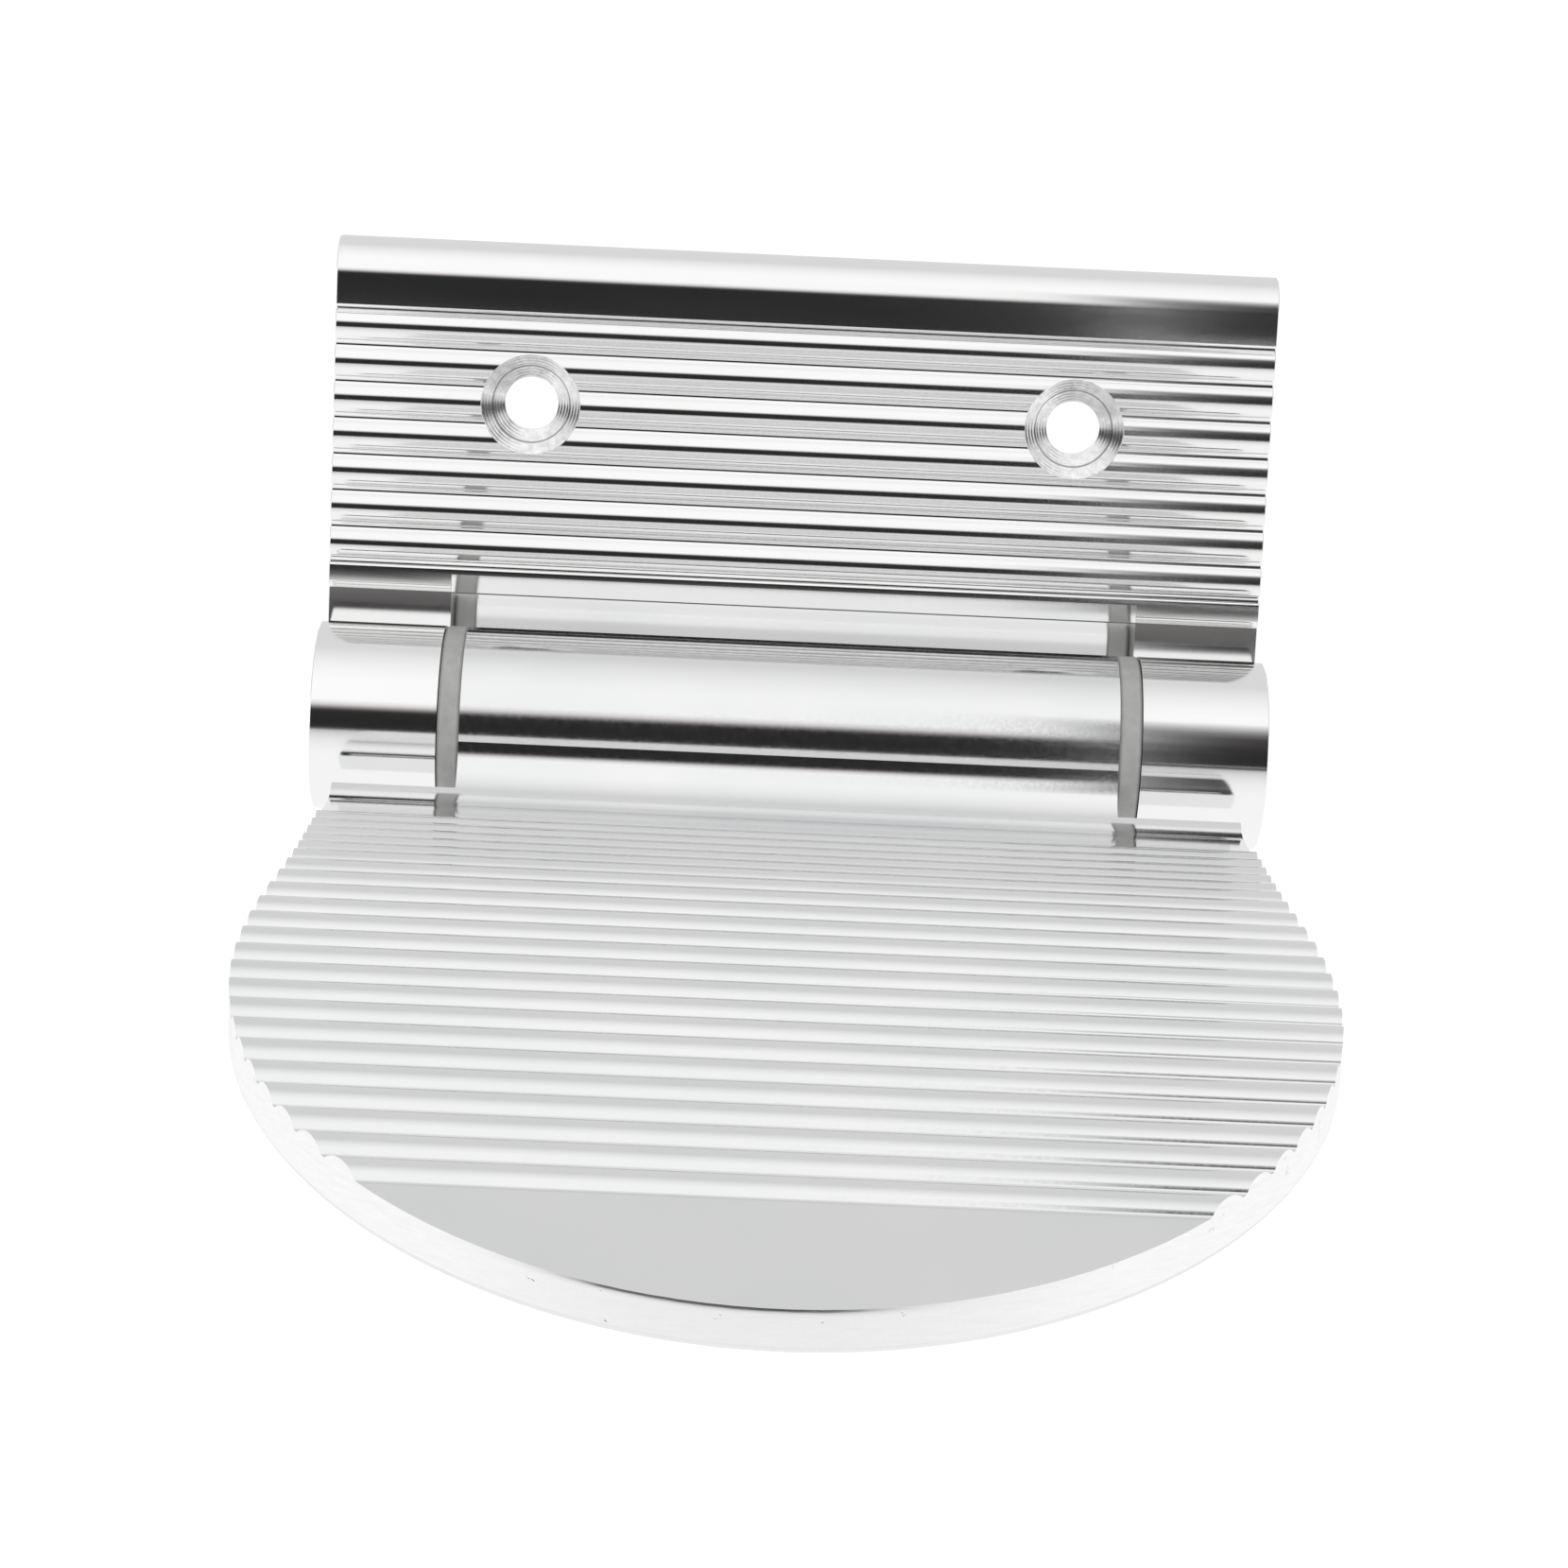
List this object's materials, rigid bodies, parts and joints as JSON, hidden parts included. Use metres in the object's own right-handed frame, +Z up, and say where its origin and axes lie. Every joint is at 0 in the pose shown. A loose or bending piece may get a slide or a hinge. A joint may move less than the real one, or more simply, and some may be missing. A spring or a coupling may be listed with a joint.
{
  "type": "tailgate step",
  "caption": "Folding footstep: a ribbed wall plate with countersunk screw holes, hinged to a ribbed tread with a rounded nose that folds up.",
  "frame": {"origin": "on the wall plate's flat back face, midway between the two screw holes", "axes": "+X across the step to the right seen from the front, +Y into the wall the plate is screwed to, +Z up; the tread reaches out along -Y"},
  "size_m": [0.1, 0.138, 0.077],
  "materials": {
    "plate_aluminium": "polished and ribbed along its width",
    "tread_aluminium": "polished on top, finely sanded on the cut rim",
    "pin_steel": "ground",
    "bush_nylon": "matte grey nylon",
    "grub_steel": "plain stainless"
  },
  "bodies": {
    "plate": {"wall_plate": "plate_aluminium", "hinge_pin": "pin_steel", "grub_left": "grub_steel", "grub_right": "grub_steel"},
    "tread": {"tread": "tread_aluminium", "bush_left": "bush_nylon", "bush_right": "bush_nylon"}
  },
  "joints": [
    {"name": "tread_fold", "type": "hinge", "parent": "plate", "child": "tread", "pos_m": [0, -0.01, -0.0333], "axis": [-1, 0, 0], "range_deg": [0, 100]}
  ]
}
